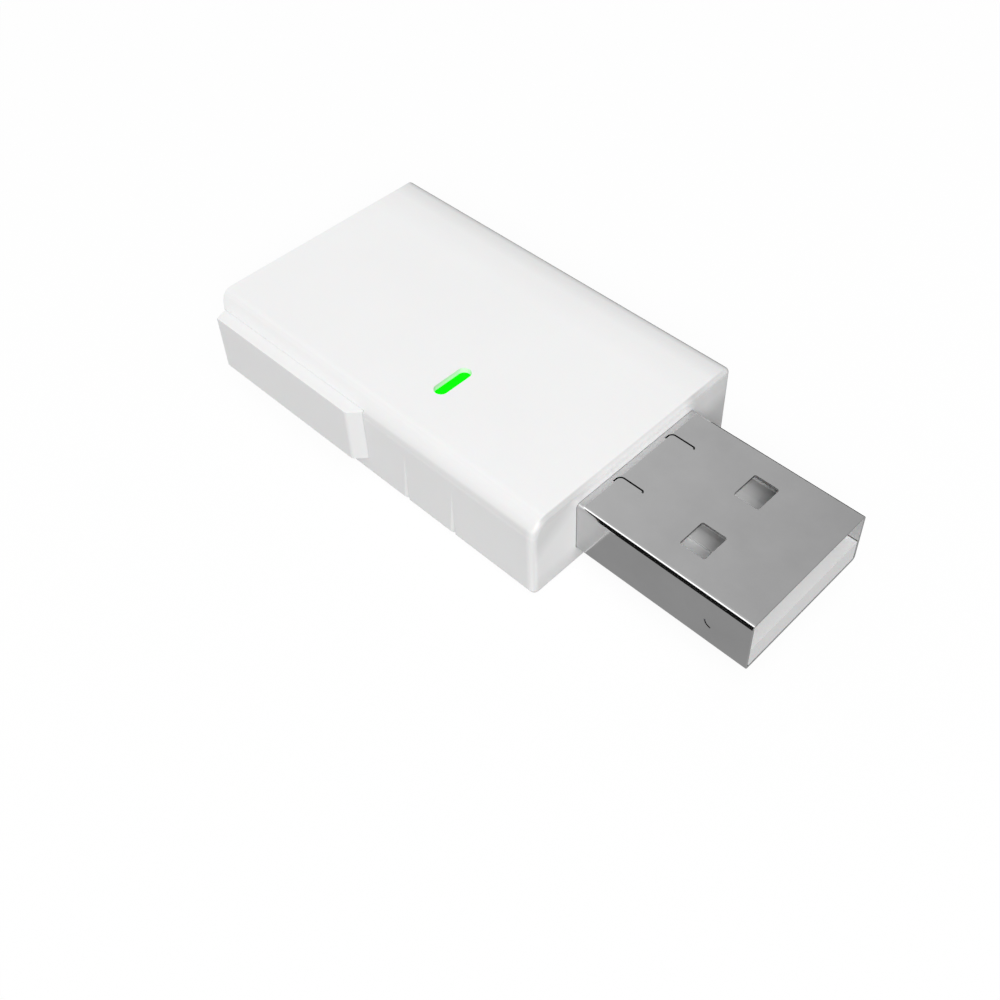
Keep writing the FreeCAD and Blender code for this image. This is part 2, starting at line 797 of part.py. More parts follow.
def usb_insulator():
    """The block inside the shell and the tongue that carries the contacts to the tip."""
    body = new_body("usb_insulator")
    tongue = sketch_on(body, "YZ_Plane", "shell_back")
    rectangle(tongue, "-tongue_side", "tongue_side", "bore_low + tongue_gap", "board_top")
    pad(tongue, "plug_tip - shell_back")
    base = sketch_on(body, "YZ_Plane", "shell_back")
    rectangle(base, "-tongue_side", "tongue_side", "board_top", "bore_high - tongue_gap")
    pad(base, "block_front - shell_back")
    slots = sketch_on(body, "YZ_Plane", "shell_back")
    for middle in contact_middles().values():
        rectangle(slots, *about(middle, "contact_width + 2 * contact_clearance"), "board_top",
                  "board_top + contact_thick + contact_clearance")
    pocket(slots, "block_front - shell_back")
    fillet(body, "plug_radius - sheet_thick", insulator_corner)
    for middle in ("-lance_offset", "lance_offset"):
        room = sketch_on(body, "XY_Plane", "bore_high - tongue_gap - lance_pocket_depth")
        rectangle(room, "lance_back - lance_pocket_margin", "lance_front + lance_pocket_margin",
                  *about(middle, "lance_width + 2 * (slit_width + lance_pocket_margin)"))
        pocket(room, "lance_pocket_depth")
    return body


def insulator_corner(edge):
    """Whether an edge is an outer long corner of the insulator."""
    outer = abs(abs(spans(edge, "Y")[0]) - number("tongue_side")) < TOLERANCE
    return parallel(edge, "X") and outer and not at(edge, "Z", "board_top")


def contact_middles():
    """The contacts and their places across the plug."""
    return {
        "contact_ground": "-contact_outer",
        "contact_data_plus": "-contact_inner",
        "contact_data_minus": "contact_inner",
        "contact_vbus": "contact_outer",
    }


def contact(label, middle, setback):
    """A flat spring strip from the tongue's front back to its pad on the board."""
    body = new_body(label, y=f"{middle} - contact_width / 2")
    strip = sketch_on(body, "XZ_Plane")
    front = f"plug_tip - {setback}"
    polygon(strip, [("contact_back", "board_top"), (front, "board_top"),
                    (f"{front} - contact_thick", "board_top + contact_thick"),
                    ("contact_back", "board_top + contact_thick")])
    pad(strip, "contact_width")
    return body


def switch_body():
    """The moulded base of the switch, hollow at the front for the plunger."""
    body = new_body("switch_body")
    outline = sketch_on(body, "XY_Plane", "board_top")
    length = "switch_length - 2 * frame_thick"
    rectangle(outline, *about("cap_middle", length), "switch_face", "switch_face + switch_depth")
    pad(outline, "switch_height - frame_thick")
    bore = sketch_on(body, "XZ_Plane", "switch_face")
    rectangle(bore, *about("cap_middle", "plunger_width + 2 * plunger_clearance"),
              *about("plunger_middle", "plunger_height + 2 * plunger_clearance"))
    pocket(bore, "plunger_hidden + travel + plunger_clearance")
    return body


def switch_frame():
    """The folded metal cover over the switch."""
    body = new_body("switch_frame")
    fold = sketch_on(body, "YZ_Plane", "cap_middle - switch_length / 2")
    rectangle(fold, "switch_face", "switch_face + switch_depth", "board_top", "board_top + switch_height")
    pad(fold, "switch_length")
    inside = sketch_on(body, "YZ_Plane", "cap_middle - switch_length / 2 + frame_thick")
    rectangle(inside, "switch_face", "switch_face + switch_depth", "board_top",
              "board_top + switch_height - frame_thick")
    pocket(inside, "switch_length - 2 * frame_thick")
    return body


def switch_plunger():
    """The plunger between the button's rib and the switch."""
    body = new_body("switch_plunger")
    face = sketch_on(body, "XZ_Plane", "flange_inner")
    rectangle(face, *about("cap_middle", "plunger_width"), *about("plunger_middle", "plunger_height"))
    pad(face, "switch_reach + plunger_hidden")
    return body


def board_chip(label, x, y, length, width, height):
    """A moulded package on the board with bevelled upper edges."""
    body = new_body(label, x, y, "board_top")
    outline = sketch_on(body, "XY_Plane")
    rectangle(outline, *about("0", length), *about("0", width))
    pad(outline, height)
    chamfer(body, "chip_edge", lambda edge: at(edge, "Z", height))
    return body


def add_leads(body, width, pitches):
    """Gull-wing leads of a package, each a bent strip from its flank down to the board."""
    flank = f"({width}) / 2"
    low = "lead_height"
    high = "lead_height + lead_thick"
    for side, pitch in pitches:
        strip = sketch_on(body, "YZ_Plane", f"({pitch}) - lead_width / 2")
        profile = [(flank, low), (flank, high),
                   (f"{flank} + lead_reach - lead_thick", "lead_thick"),
                   (f"{flank} + lead_reach", "lead_thick"), (f"{flank} + lead_reach", "0"),
                   (f"{flank} + lead_thick", "0")]
        polygon(strip, [(f"{side} * ({u})", v) for u, v in profile])
        pad(strip, "lead_width")


def voltage_regulator():
    """A three-lead package: two leads on one flank and one on the other."""
    body = board_chip("voltage_regulator", "regulator_x", "regulator_offset", "regulator_width",
                      "regulator_length", "regulator_height")
    add_leads(body, "regulator_length", [(-1, "-regulator_pitch"), (-1, "regulator_pitch"), (1, "0")])
    return body


def esd_diode():
    """A two-lead package."""
    body = board_chip("esd_diode", "diode_x", "-diode_offset", "diode_length", "diode_width",
                      "diode_height")
    add_leads(body, "diode_width", [(-1, "0"), (1, "0")])
    return body


def shield_can():
    """The folded can over the radio, with vents in its lid and feet along its rim."""
    body = new_body("shield_can", "can_x", "can_offset", "board_top")
    outer = sketch_on(body, "XY_Plane")
    rectangle(outer, *about("0", "can_length"), *about("0", "can_width"))
    pad(outer, "can_height")
    fillet(body, "can_thick", lambda edge: at(edge, "Z", "can_height"))
    inner = sketch_on(body, "XY_Plane")
    rectangle(inner, *about("0", "can_length - 2 * can_thick"), *about("0", "can_width - 2 * can_thick"))
    pocket(inner, "can_height - can_thick")
    vents = sketch_on(body, "XY_Plane", "can_height - can_thick")
    for column in range(VENT_COLUMNS):
        for row in range(VENT_ROWS):
            circle(vents, f"({column} - ({VENT_COLUMNS} - 1) / 2) * can_vent_pitch",
                   f"({row} - ({VENT_ROWS} - 1) / 2) * can_vent_pitch", "can_vent / 2")
    pocket(vents, "can_thick")
    gaps = sketch_on(body, "XZ_Plane", "-can_width / 2")
    for side in ("", "-"):
        ends = (f"{side}(can_foot / 2)", f"{side}(can_length / 2 - can_foot)")
        rectangle(gaps, *sorted(ends, key=number), "0", "can_foot_gap")
    pocket(gaps, "can_width")
    return body


def passives(label, count, x, y, height):
    """A row of identical parts in one node, each with a raised cap at both ends."""
    body = new_body(label, x, y, "board_top")
    body.AllowCompound = True
    shoulder = "passive_length / 2 - passive_cap"
    lowered = f"{height} - passive_step"
    profile = [("-passive_length / 2", "0"), ("passive_length / 2", "0"),
               ("passive_length / 2", height), (shoulder, height), (shoulder, lowered),
               (f"-({shoulder})", lowered), (f"-({shoulder})", height), ("-passive_length / 2", height)]
    for index in range(count):
        part = sketch_on(body, "YZ_Plane", f"{index} * passive_pitch")
        polygon(part, profile)
        pad(part, "passive_width")
    return body


def build_all():
    """Every sub-part, in the order of the list in the report."""
    middles = contact_middles()
    return [
        upper_housing(),
        bottom_cover(),
        side_button(),
        light_pipe(),
        circuit_board(),
        board_chip("status_led", "light_x", "light_y", "led_width", "led_length", "led_height"),
        board_chip("radio_chip", "chip_x", "can_offset", "chip_size", "chip_size", "chip_height"),
        shield_can(),
        board_chip("antenna", "antenna_x", "antenna_offset", "antenna_length", "antenna_width",
                   "antenna_height"),
        board_chip("crystal", "crystal_x", "crystal_offset", "crystal_width", "crystal_length",
                   "crystal_height"),
        board_chip("flash_chip", "flash_x", "flash_offset", "flash_size", "flash_size", "flash_height"),
        voltage_regulator(),
        board_chip("inductor", "inductor_x", "inductor_offset", "inductor_size", "inductor_size",
                   "inductor_height"),
        board_chip("fuse", "fuse_x", "fuse_offset", "fuse_length", "fuse_width", "fuse_height"),
        esd_diode(),
        passives("capacitors", CAPACITOR_COUNT, "capacitor_x", "-capacitor_offset", "capacitor_height"),
        passives("resistors", RESISTOR_COUNT, "resistor_x", "-resistor_offset", "resistor_height"),
        switch_body(),
        switch_frame(),
        switch_plunger(),
        usb_shell(),
        usb_insulator(),
        contact("contact_ground", middles["contact_ground"], "power_setback"),
        contact("contact_data_plus", middles["contact_data_plus"], "data_setback"),
        contact("contact_data_minus", middles["contact_data_minus"], "data_setback"),
        contact("contact_vbus", middles["contact_vbus"], "power_setback"),
    ]


doc = FreeCAD.newDocument("gateway")
sheet = doc.addObject("Spreadsheet::Sheet", "dim")
for row, (alias, size) in enumerate(SIZES.items(), start=1):
    sheet.set(f"A{row}", alias)
    sheet.set(f"B{row}", str(size))
    sheet.setAlias(f"B{row}", alias)
doc.recompute()

sub_parts = build_all()
doc.recompute()
for item in doc.Objects:
    if "Invalid" in item.State or "Error" in item.State:
        raise RuntimeError(f"{item.Label} failed")
for part in sub_parts:
    if part.Shape.isNull() or not part.Shape.isValid():
        raise RuntimeError(f"{part.Label} has no valid shape")

os.makedirs("parts", exist_ok=True)
for part in sub_parts:
    part.Shape.exportStep(f"parts/{part.Label}.step")
    print(part.Label, round(part.Shape.Volume, 3), len(part.Shape.Solids))
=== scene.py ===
import math
import bpy
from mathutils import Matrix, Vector

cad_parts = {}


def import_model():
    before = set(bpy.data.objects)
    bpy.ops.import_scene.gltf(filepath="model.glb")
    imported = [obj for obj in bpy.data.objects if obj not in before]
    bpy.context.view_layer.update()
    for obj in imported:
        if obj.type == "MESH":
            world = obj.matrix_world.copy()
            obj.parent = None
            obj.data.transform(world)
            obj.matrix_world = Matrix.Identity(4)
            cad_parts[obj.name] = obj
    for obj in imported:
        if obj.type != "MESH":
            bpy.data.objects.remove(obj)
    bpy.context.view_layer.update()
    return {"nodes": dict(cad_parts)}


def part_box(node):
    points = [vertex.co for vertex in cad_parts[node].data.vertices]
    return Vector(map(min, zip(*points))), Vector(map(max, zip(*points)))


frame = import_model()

# One millimetre in metres. Places in the materials are in millimetres.
MM = 0.001

# The corners of a unit square, in order.
SQUARE = ((0, 0), (1, 0), (1, 1), (0, 1))

# Painted shade on the white plastic by how far a surface looks up, darkest on the feet and rims: the
# feet, the walls, the rims, the top.
RIM_PAINTED_SHADES = [(-1.0, 1.0), (-0.85, 0.82), (-0.15, 0.82), (-0.08, 0.98), (0.1, 0.98), (0.2, 0.90),
             (0.35, 0.87), (0.5, 0.955), (0.75, 0.94), (0.9, 0.895), (0.97, 0.925), (1.0, 1.0)]

# Painted shade across the casing's top, darker towards the far edge: places and shares.
FAR_PAINTED_SHADES = [(5.6, 1.0), (8.1, 0.955), (9.4, 0.835), (9.62, 0.72), (10.1, 0.72)]

# Painted shade on the far rim: how far it looks to the far side and up, and its share of the tone.
FAR_FACING = (0.1, 0.7)
FAR_RISE = (0.2, 1.0)
FAR_RIM_SHARE = 0.62

# Painted light on the front upright: its reach from the casing's corner, how far it looks to the side,
# its share.
STRIP_REACH = (-0.75, -0.45)
STRIP_FACING = (-0.75, -0.98)
STRIP_SHARE = 1.13

# The casing's front, where its painted shades fall: what looking up adds to looking forward, and where
# it starts and is full.
FRONT_RISE = 0.6
FRONT_FACING = (0.75, 1.0)

# The front's parts across Y, as fades: all but the far side, the far side, and above the plug.
LEFT_PART = (6, 5)
RIGHT_PART = (5, 6)
ABOVE_PART = (6, 5.6)

# The front's painted shades, among them the plug's painted shadow on the far side, and one painted
# light: what is measured, where each starts and is full, its part and its share.
FRONT_SLANT = -0.6
FRONT_SHADES = [
    ("slant", 9.0, 10.6, "left", 0.86),
    ("height", 5.2, 3.6, "right", 0.75),
    ("height", 1.0, 2.0, "right", 0.89),
    ("across", 7.6, 6.2, "right", 0.87),
    ("height", 1.8, 0.9, "left", 0.93),
    ("height", 6.5, 6.75, "both", 0.83),
    ("height", 6.5, 6.2, "left", 1.06),
]

# Painted shade in the band above the plug: its lowest and highest place, and its share of the tone.
ABOVE_BAND = (5.8, 6.55)
ABOVE_SHARE = 0.88

# Painted shade on the tongue under the plug's windows: their pitch, its phase, where it falls, and its
# two levels.
WINDOW_PITCH = 5.54
WINDOW_PHASE = 2.0
WINDOW_FALL = (0.62, 0.94)
WINDOW_LIGHT = 0.98
WINDOW_DARK = 0.55

# How far behind the plug's tip that painted shade starts and is full.
WINDOW_START = 2.5
WINDOW_FULL = 4

# Painted shade in the slits in the plug's top: their inset, depth and reach, how their walls look, and
# their share.
SLIT_INSET = 0.3
SLIT_DEPTH = 0.25
SLIT_REACH = 3
SLIT_FACING = (-0.5, 0.5)
SLIT_SHARE = 0.15

# The places of a noise at which a colour or a roughness reaches its two ends.
CLOUD_PLACES = (0.3, 0.7)
GUIDE_PLACES = (0.2, 0.8)
ROUGH_PLACES = (0.25, 0.75)

# The plastics' refraction, the white ones' range of roughness, and the direction of drawn lines.
PLASTIC_IOR = 1.49
FINISH_RANGE = 0.08
DRAWN_GRAIN = (0.06, 5, 5)

# The greens of the light, as it glows and as its plastic, and of the board.
GUIDE_GLOW = ((0.0, 0.93, 0.0), (0.0, 1.0, 0.0))
GUIDE_GREEN = ((0.0, 0.10, 0.0), (0.0, 0.16, 0.0))
MASK_GREEN = (0.012, 0.11, 0.045)
TRACE_GREEN = (0.03, 0.19, 0.08)

# Moulded resins and ceramics: colour, lowest and highest roughness, and their nodes.
MOULDED = {
    "package_black": ((0.02, 0.02, 0.022), 0.4, 0.55,
                      ["radio_chip", "flash_chip", "voltage_regulator", "esd_diode"]),
    "lamp_resin": ((0.75, 0.85, 0.62), 0.15, 0.25, ["status_led"]),
    "antenna_ceramic": ((0.70, 0.76, 0.80), 0.3, 0.4, ["antenna"]),
    "ferrite": ((0.06, 0.06, 0.065), 0.5, 0.7, ["inductor"]),
    "fuse_resin": ((0.03, 0.16, 0.07), 0.35, 0.5, ["fuse"]),
    "capacitor_ceramic": ((0.36, 0.23, 0.11), 0.35, 0.5, ["capacitors"]),
    "resistor_film": ((0.02, 0.02, 0.025), 0.3, 0.45, ["resistors"]),
    "switch_resin": ((0.05, 0.05, 0.055), 0.4, 0.55, ["switch_body"]),
    "plunger_resin": ((0.62, 0.58, 0.46), 0.4, 0.5, ["switch_plunger"]),
}

# Plain plated sheets: colour, lowest and highest roughness, and their nodes.
PLATED = {
    "switch_sheet": ((0.60, 0.60, 0.59), 0.25, 0.4, ["switch_frame"]),
    "can_tin": ((0.58, 0.58, 0.57), 0.3, 0.45, ["shield_can"]),
    "crystal_lid": ((0.66, 0.62, 0.54), 0.2, 0.35, ["crystal"]),
}
CONTACTS = ["contact_ground", "contact_data_plus", "contact_data_minus", "contact_vbus"]

# The soft box: over the plug's end, on the button's side.
KEY_AZIMUTH = -42
KEY_ELEVATION = 42
KEY_DISTANCE = 1.2
KEY_SIZE = 0.6
KEY_POWER = 10.8

# The sky's light, and the floor: its size, its grey, its shade as seen and what it gives back.
SKY_LEVEL = 0.52
FLOOR_SIZE = 2.0
FLOOR_WHITE = 0.97
FLOOR_SHADE = 0.10
FLOOR_BOUNCE = 0.22

# Cards that the metal mirrors: azimuth, elevation, distance, width, height and two sides' levels.
CARDS = {
    "sky_card": (122, 49, 0.5, 0.36, 0.40, 0.38, 0.80),
    "grey_card": (190, 60, 0.6, 0.64, 0.375, 0.70, 0.70),
    "white_card": (233, 59, 0.32, 0.34, 0.13, 1.9, 1.9),
    "dark_card_left": (240, 21, 0.3, 0.6, 0.29, 0.01, 0.01),
    "dark_card_right": (120, 8, 0.3, 0.5, 0.10, 0.05, 0.05),
}

# Cards that lie on the floor beside the plug: how far they reach out from it, and their levels.
CARD_HEIGHT = 0.05 * MM
FLOOR_REACH = 250 * MM
NEAR_FRONT = 9 * MM
NEAR_LEFT = 5.5 * MM
NEAR_RIGHT = 7 * MM
NEAR_LEVEL = 0.39
LEFT_LEVEL = 0.01
RIGHT_LEVEL = 0.04

# The camera of the photograph, solved from the object's edges.
CAMERA_PLACE = (44.8 * MM, -45.98 * MM, 67.84 * MM)
CAMERA_TILT = math.radians(43.07)
CAMERA_TURN = math.radians(42.96)
CAMERA_REACH = 10.0
FOCAL_PIXELS = 1270.68
PRINCIPAL_POINT = (556.09, 452.69)
IMAGE_SIZE = 1000
SENSOR_WIDTH = 36.0


def grey(level):
    """A colour with no hue."""
    return (level, level, level)


class Shader:
    """A material's nodes, with short ways to add and join them. Places are in millimetres."""

    def __init__(self, name):
        self.material = bpy.data.materials.new(name)
        self.material.use_nodes = True
        self.tree = self.material.node_tree
        self.surface = self.tree.nodes["Principled BSDF"]
        self.place = self.add("ShaderNodeVectorMath", operation="SCALE")
        self.place.inputs["Scale"].default_value = 1 / MM
        where = self.add("ShaderNodeTexCoord")
        self.join(where.outputs["Object"], self.place.inputs[0])

    def add(self, kind, **settings):
        """A new node with its settings."""
        node = self.tree.nodes.new(kind)
        for name, value in settings.items():
            setattr(node, name, value)
        return node

    def join(self, source, target):
        """A link from an output to an input."""
        self.tree.links.new(source, target)

    def feed(self, value, socket):
        """An output is joined to the socket, and a plain value is set on it."""
        if isinstance(value, bpy.types.NodeSocket):
            self.join(value, socket)
        elif isinstance(value, tuple):
            socket.default_value = (*value, 1)
        else:
            socket.default_value = value

    def set(self, **values):
        """Plain values on the surface's own sockets."""
        for name, value in values.items():
            self.surface.inputs[name.replace("_", " ")].default_value = value

    def stretched(self, stretch):
        """The place with each axis scaled, for grain that runs one way."""
        node = self.add("ShaderNodeVectorMath", operation="MULTIPLY")
        self.join(self.place.outputs[0], node.inputs[0])
        node.inputs[1].default_value = stretch
        return node.outputs[0]

    def noise(self, scale, detail=2.0, roughness=0.5, stretch=(1, 1, 1)):
        """Soft noise, with its scale in waves per millimetre."""
        node = self.add("ShaderNodeTexNoise")
        node.inputs["Scale"].default_value = scale
        node.inputs["Detail"].default_value = detail
        node.inputs["Roughness"].default_value = roughness
        self.join(self.stretched(stretch), node.inputs["Vector"])
        return node.outputs["Fac"]

    def along(self, axis):
        """The place along one axis."""
        node = self.add("ShaderNodeSeparateXYZ")
        self.join(self.place.outputs[0], node.inputs[0])
        return node.outputs[axis]

    def facing(self, axis):
        """How far a surface looks along one axis."""
        node = self.add("ShaderNodeSeparateXYZ")
        self.join(self.add("ShaderNodeNewGeometry").outputs["Normal"], node.inputs[0])
        return node.outputs[axis]

    def maths(self, kind, *values):
        """A sum, a product or the like of outputs and plain values."""
        node = self.add("ShaderNodeMath", operation=kind)
        for value, socket in zip(values, node.inputs):
            self.feed(value, socket)
        return node.outputs[0]

    def product(self, first, *others):
        """Outputs and plain values multiplied in turn."""
        total = first
        for factor in others:
            total = self.maths("MULTIPLY", total, factor)
        return total

    def within(self, source, low, high):
        """A value of 1 where the source lies between two values."""
        return self.maths("COMPARE", source, (low + high) / 2, (high - low) / 2)

    def spread(self, source, old_range, new_range):
        """A value mapped from one range to another, and kept inside it."""
        node = self.add("ShaderNodeMapRange")
        self.join(source, node.inputs["Value"])
        for name, value in zip(("From Min", "From Max", "To Min", "To Max"), (*old_range, *new_range)):
            node.inputs[name].default_value = value
        return node.outputs["Result"]

    def fade(self, source, start, full):
        """A value that goes from 0 at the start to 1 where it is full."""
        return self.spread(source, (start, full), (0, 1))

    def ramp(self, source, stops):
        """A colour ramp of (place, colour) stops."""
        node = self.add("ShaderNodeValToRGB")
        self.join(source, node.inputs["Fac"])
        elements = node.color_ramp.elements
        for place, _ in stops[2:]:
            elements.new(place)
        for element, (place, colour) in zip(elements, sorted(stops, key=lambda stop: stop[0])):
            element.position = place
            element.color = (*colour, 1)
        return node.outputs["Color"]

    def clouded(self, clouds, base, share):
        """A colour that a noise takes from a darker to a lighter tone of the base."""
        dark = tuple(part * (1 - share) for part in base)
        light = tuple(min(part * (1 + share), 1) for part in base)
        return self.ramp(clouds, list(zip(CLOUD_PLACES, (dark, light))))

    def blend(self, factor, first, second, kind="MIX"):
        """Two colours mixed by a factor, each an output or a plain colour."""
        node = self.add("ShaderNodeMix", data_type="RGBA", blend_type=kind)
        for value, name in ((factor, "Factor"), (first, "A"), (second, "B")):
            self.feed(value, node.inputs[name])
        return node.outputs["Result"]

    def tinted(self, tone, factor, share):
        """A tone that is multiplied by a grey share where the factor is 1."""
        shade = self.blend(factor, grey(1.0), grey(share))
        return self.blend(1.0, tone, shade, kind="MULTIPLY")

    def graded(self, tone, source, shares):
        """A tone that is multiplied by grey shares, given as (value of the source, share)."""
        low, high = shares[0][0], shares[-1][0]
        stops = [((value - low) / (high - low), grey(share)) for value, share in shares]
        shade = self.ramp(self.fade(source, low, high), stops)
        return self.blend(1.0, tone, shade, kind="MULTIPLY")

    def colour(self, source):
        """The surface's colour."""
        self.join(source, self.surface.inputs["Base Color"])

    def rough(self, source, low, high):
        """Roughness that varies with a noise."""
        self.join(self.spread(source, ROUGH_PLACES, (low, high)), self.surface.inputs["Roughness"])

    def bump(self, source, height, strength):
        """Relief from a noise, with its height in millimetres."""
        node = self.add("ShaderNodeBump")
        node.inputs["Strength"].default_value = strength
        node.inputs["Distance"].default_value = height * MM
        self.join(source, node.inputs["Height"])
        self.join(node.outputs["Normal"], self.surface.inputs["Normal"])


def front_mask(shader):
    """Where the front's painted shades fall: a value of 1 where a surface looks to the front, also
    where it starts to turn up.
    """
    turned = shader.maths("MULTIPLY_ADD", shader.facing("Z"), FRONT_RISE, shader.facing("X"))
    return shader.fade(turned, *FRONT_FACING)


def painted_front_shade(shader, tone, front):
    """Painted shades on the casing's front, beside the plug and above it, with the plug's painted
    shadow and one painted light.
    """
    across, height = shader.along("Y"), shader.along("Z")
    slant = shader.maths("MULTIPLY_ADD", across, FRONT_SLANT, height)
    measures = {"across": across, "height": height, "slant": slant}
    left, right = shader.fade(across, *LEFT_PART), shader.fade(across, *RIGHT_PART)
    parts = {"left": left, "right": right, "both": 1.0}
    for measure, start, full, part, share in FRONT_SHADES:
        amount = shader.fade(measures[measure], start, full)
        tone = shader.tinted(tone, shader.product(amount, parts[part], front), share)
    above = shader.fade(shader.maths("ABSOLUTE", across), *ABOVE_PART)
    band = shader.within(height, *ABOVE_BAND)
    return shader.tinted(tone, shader.product(band, above, front), ABOVE_SHARE)


def painted_far_rim_shade(shader, tone):
    """Painted shade: the darker rim along the casing's far side."""
    far = shader.fade(shader.facing("Y"), *FAR_FACING)
    rim = shader.within(shader.facing("Z"), *FAR_RISE)
    return shader.tinted(tone, shader.product(far, rim), FAR_RIM_SHARE)


def painted_strip_light(shader, tone):
    """Painted light: the paler upright where the casing's button side meets its front."""
    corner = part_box("upper_housing")[1][0] / MM
    start, full = (corner + reach for reach in STRIP_REACH)
    strip = shader.fade(shader.along("X"), start, full)
    side = shader.fade(shader.facing("Y"), *STRIP_FACING)
    return shader.tinted(tone, shader.product(strip, side), STRIP_SHARE)


def painted_case_shade(shader, tone):
    """Painted shade and light on the casing: its front, the fall towards its far edge, its rim and its
    upright.
    """
    front = front_mask(shader)
    shaded = painted_front_shade(shader, tone, front)
    # Painted shade that darkens the casing towards its far edge, off the front.
    falling = shader.graded(shaded, shader.along("Y"), FAR_PAINTED_SHADES)
    tone = shader.blend(front, falling, shaded)
    return painted_strip_light(shader, painted_far_rim_shade(shader, tone))


def painted_window_shade(shader, tone):
    """Painted shade on the tongue under the plug's two windows, darker towards the far side."""
    turns = shader.maths("MULTIPLY_ADD", shader.along("Y"), 1 / WINDOW_PITCH, WINDOW_PHASE)
    fall = shader.fade(shader.maths("FRACT", turns), *WINDOW_FALL)
    shade = shader.blend(fall, grey(WINDOW_LIGHT), grey(WINDOW_DARK))
    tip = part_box("usb_shell")[1][0] / MM
    under = shader.fade(shader.along("X"), tip - WINDOW_START, tip - WINDOW_FULL)
    return shader.blend(under, tone, shade)


def painted_slit_shade(shader, tone):
    """Painted shade: the darker walls of the slits in the top of the plug's sheet, near the casing."""
    _, (_, side, top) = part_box("usb_shell")
    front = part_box("upper_housing")[1][0] / MM
    inner, top = side / MM - SLIT_INSET, top / MM
    upright = shader.within(shader.facing("Z"), *SLIT_FACING)
    inside = shader.within(shader.along("Y"), -inner, inner)
    near = shader.within(shader.along("X"), front, front + SLIT_REACH)
    high = shader.within(shader.along("Z"), top - SLIT_DEPTH, top)
    return shader.tinted(tone, shader.product(upright, inside, near, high), SLIT_SHARE)


def white_plastic(name, level, finish, painted_shading=None):
    """Satin moulded plastic: faint flow clouds, a fine spark-eroded grain, painted shade on its feet
    and rims by how far they look up, and any further painted shading that is passed in.
    """
    shader = Shader(name)
    clouded = shader.clouded(shader.noise(scale=0.12, detail=3), grey(level), share=0.008)
    # Painted shade: darker feet and rims, by how far a surface looks up.
    tone = shader.graded(clouded, shader.facing("Z"), RIM_PAINTED_SHADES)
    shader.colour(painted_shading(shader, tone) if painted_shading else tone)
    shader.rough(shader.noise(scale=0.8, detail=4), finish, finish + FINISH_RANGE)
    shader.bump(shader.noise(scale=9, detail=3, roughness=0.6), height=0.004, strength=0.5)
    shader.set(IOR=PLASTIC_IOR, Subsurface_Weight=0.06, Subsurface_Scale=0.3 * MM)
    return shader.material


def light_guide():
    """The clear window, lit green from below, with faint clouds in its glow."""
    shader = Shader("light_guide")
    clouds = shader.noise(scale=1.6, detail=2)
    glow = shader.ramp(clouds, list(zip(GUIDE_PLACES, GUIDE_GLOW)))
    shader.colour(shader.ramp(clouds, list(zip(GUIDE_PLACES, GUIDE_GREEN))))
    shader.join(glow, shader.surface.inputs["Emission Color"])
    shader.set(Emission_Strength=1.0, IOR=PLASTIC_IOR, Specular_IOR_Level=0.05)
    shader.rough(shader.noise(scale=3), low=0.22, high=0.34)
    shader.bump(shader.noise(scale=14, detail=2), height=0.003, strength=0.4)
    return shader.material


def plated_sheet(name, base, low, high, metal=1.0, painted_shading=None):
    """Drawn and plated sheet metal: fine lines one way and faint clouds, and any painted shading that
    is passed in.
    """
    shader = Shader(name)
    tone = shader.clouded(shader.noise(scale=0.35, detail=4), base, share=0.035)
    shader.colour(painted_shading(shader, tone) if painted_shading else tone)
    lines = shader.noise(scale=3.0, detail=4, roughness=0.7, stretch=DRAWN_GRAIN)
    shader.rough(lines, low, high)
    shader.bump(lines, height=0.002, strength=0.35)
    shader.set(Metallic=metal)
    return shader.material


def moulded(name, base, low, high):
    """Plain moulded resin or ceramic, with soft mottling and a fine grain."""
    shader = Shader(name)
    shader.colour(shader.clouded(shader.noise(scale=0.9, detail=5), base, share=0.06))
    shader.rough(shader.noise(scale=2.2, detail=3), low, high)
    shader.bump(shader.noise(scale=11, detail=3), height=0.006, strength=0.5)
    return shader.material


def solder_mask():
    """Green board laminate with copper runs that show as raised lighter bands."""
    shader = Shader("solder_mask")
    cells = shader.add("ShaderNodeTexBrick")
    shader.join(shader.place.outputs[0], cells.inputs["Vector"])
    cells.inputs["Scale"].default_value = 0.55
    cells.inputs["Mortar Size"].default_value = 0.035
    shader.colour(shader.blend(cells.outputs["Fac"], MASK_GREEN, TRACE_GREEN))
    shader.rough(shader.noise(scale=1.5, detail=3), low=0.25, high=0.4)
    shader.bump(cells.outputs["Fac"], height=0.03, strength=0.5)
    return shader.material


def paint(material, nodes):
    """A material on each of some CAD nodes."""
    for node in nodes:
        slots = frame["nodes"][node].data.materials
        slots.clear()
        slots.append(material)


def paint_seen_parts():
    """The casing, its cover, button and light, and the plug."""
    # The casing carries painted shade and painted light.
    paint(white_plastic("case_white", level=0.89, finish=0.34, painted_shading=painted_case_shade), ["upper_housing"])
    paint(white_plastic("cover_white", level=0.87, finish=0.40), ["bottom_cover"])
    paint(white_plastic("button_white", level=0.88, finish=0.36), ["side_button"])
    paint(light_guide(), ["light_pipe"])
    # The plug's sheet carries painted shade in its slits.
    nickel = plated_sheet("plug_nickel", base=(0.62, 0.62, 0.622), low=0.07, high=0.13,
                          painted_shading=painted_slit_shade)
    paint(nickel, ["usb_shell"])
    # The tongue and its contacts carry painted shade under the plug's windows.
    tongue = white_plastic("insulator_white", level=0.82, finish=0.45, painted_shading=painted_window_shade)
    paint(tongue, ["usb_insulator"])
    tin = plated_sheet("contact_tin", base=(0.82, 0.82, 0.81), low=0.45, high=0.6, metal=0.1,
                       painted_shading=painted_window_shade)
    paint(tin, CONTACTS)


